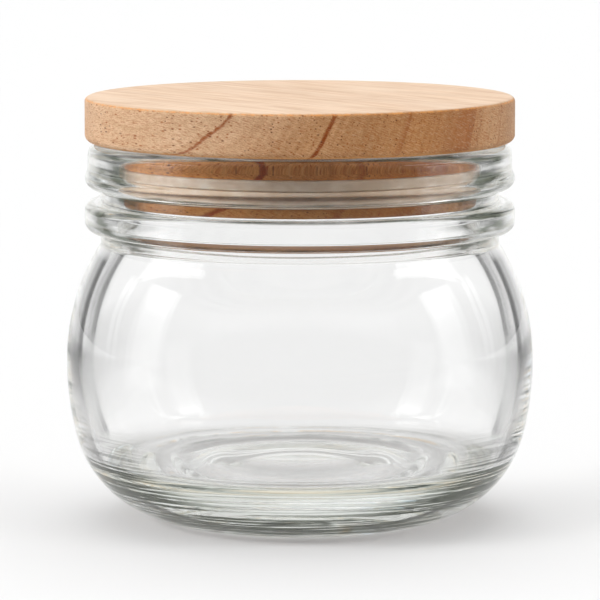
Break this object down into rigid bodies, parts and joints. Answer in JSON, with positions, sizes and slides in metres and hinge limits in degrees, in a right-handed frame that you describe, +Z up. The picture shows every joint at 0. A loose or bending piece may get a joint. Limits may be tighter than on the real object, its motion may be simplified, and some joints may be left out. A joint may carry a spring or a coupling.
{
  "type": "sourdough starter jar",
  "caption": "Round clear glass jar with a ringed neck and a press-in wooden lid sealed by a translucent silicone ring, for keeping sourdough starter.",
  "frame": {"origin": "centre of the foot ring under the jar, on the surface that the jar stands on", "axes": "+Z up along the jar's axis, through the middle of the lid; the jar is round, so X and Y are any two horizontal directions, with the picture seen along +Y"},
  "size_m": [0.109, 0.109, 0.0986],
  "materials": {
    "jar_glass": "clear soda-lime glass, fire polished, with a faint green tint where it is thick",
    "lid_wood": "pale turned hardwood, sanded smooth and lightly oiled, with fine growth rings and pores",
    "seal_silicone": "translucent natural silicone, satin"
  },
  "bodies": {
    "jar": {"glass_jar": "jar_glass"},
    "lid": {"wooden_lid": "lid_wood", "silicone_seal": "seal_silicone"}
  },
  "joints": [
    {"name": "lid_lift", "type": "slide", "parent": "jar", "child": "lid", "axis": [0, 0, 1], "range_m": [0, 0.04]}
  ]
}
